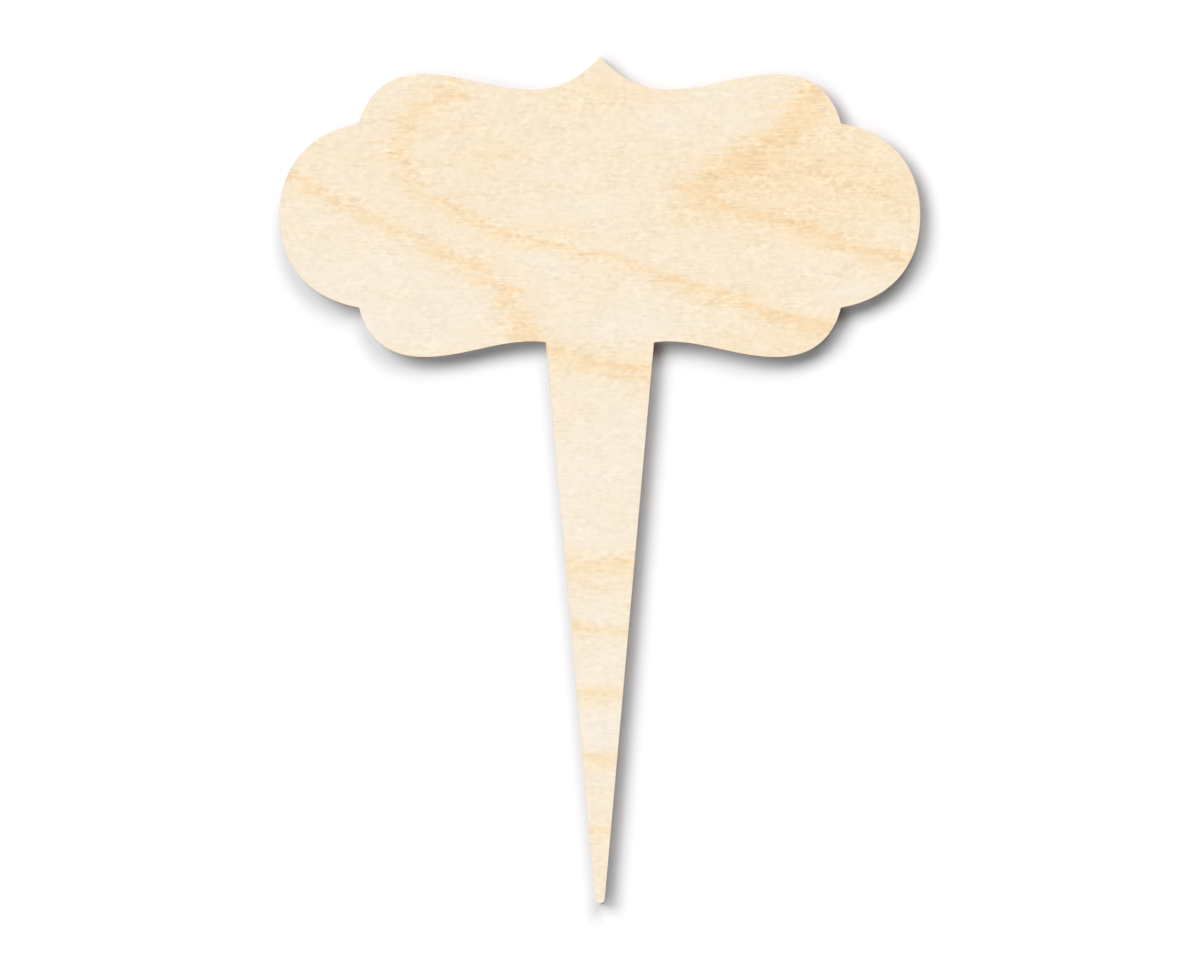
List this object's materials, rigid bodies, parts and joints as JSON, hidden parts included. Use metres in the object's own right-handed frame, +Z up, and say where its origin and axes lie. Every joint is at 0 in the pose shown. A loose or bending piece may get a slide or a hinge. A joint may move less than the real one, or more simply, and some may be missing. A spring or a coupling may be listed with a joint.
{
  "type": "plant label stake",
  "caption": "Flat wooden label for a plant bed or large pot: a lobed plaque with a small ogee point on top and one long tapering stake below, cut in one outline from birch plywood.",
  "frame": {"origin": "tip of the stake, half way through the board's thickness", "axes": "+Z up along the stake to the plaque's point, +X across the plaque, to the right as its written face is seen, -Y out of the written face"},
  "size_m": [0.1536, 0.006, 0.2032],
  "materials": {
    "face_veneer": "sanded, unfinished birch veneer, fine grain across the stake with a few warm growth bands",
    "crossband": "bare birch, grain along the stake, toasted where the edge is cut",
    "core": "bare birch, grain across the stake, toasted where the edge is cut",
    "glue": "cured brown glue line"
  },
  "bodies": {
    "root": {"back_veneer": "face_veneer", "back_veneer_glue": "glue", "back_crossband": "crossband", "back_core_glue": "glue", "core": "core", "front_core_glue": "glue", "front_crossband": "crossband", "front_veneer_glue": "glue", "front_veneer": "face_veneer"}
  },
  "joints": []
}
